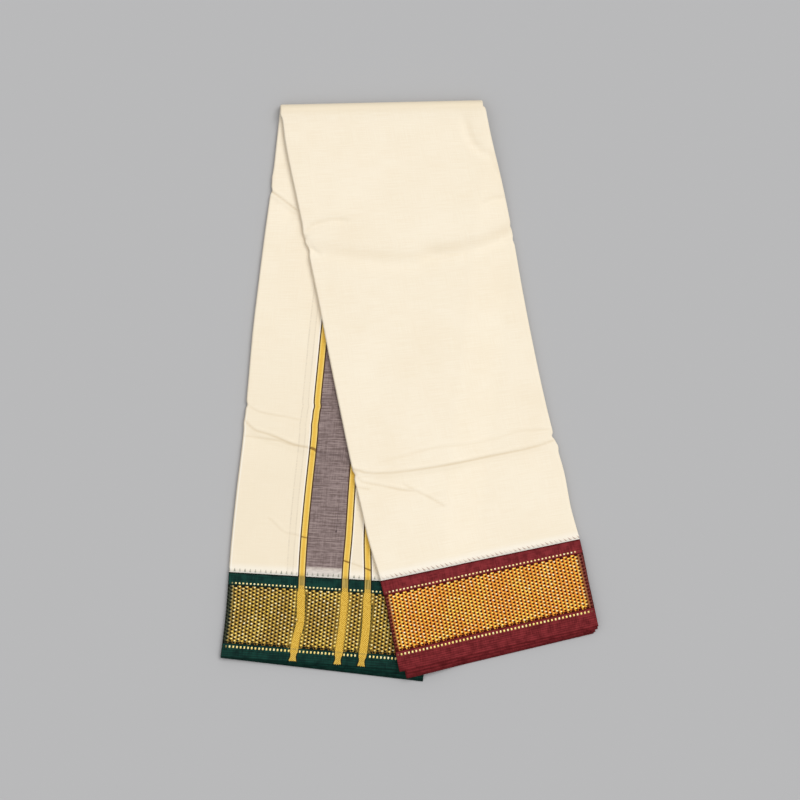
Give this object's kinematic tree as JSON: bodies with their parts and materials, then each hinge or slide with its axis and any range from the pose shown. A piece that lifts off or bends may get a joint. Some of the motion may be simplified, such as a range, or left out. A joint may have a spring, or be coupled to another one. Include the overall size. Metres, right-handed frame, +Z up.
{
  "type": "folded dhoti cloth",
  "caption": "Cotton dhoti cloth folded lengthwise and once across: cream ground with end stripes, a green and a maroon border with gold thread.",
  "frame": {"origin": "middle of the folded cloth's outline seen from above, on the surface that it lies on", "axes": "+X to the right across the strip, +Y along the strip towards the top fold, +Z up"},
  "size_m": [0.4248, 0.651, 0.0161],
  "materials": {
    "cream_cotton": "plain woven unbleached cotton, matt, with a faint sheen",
    "green_border": "dense dark green cotton with a gold thread pattern",
    "maroon_border": "dense maroon cotton with a gold thread pattern"
  },
  "bodies": {
    "root": {"lower_ground": "cream_cotton", "upper_ground": "cream_cotton", "green_border": "green_border", "maroon_border": "maroon_border"}
  },
  "joints": []
}
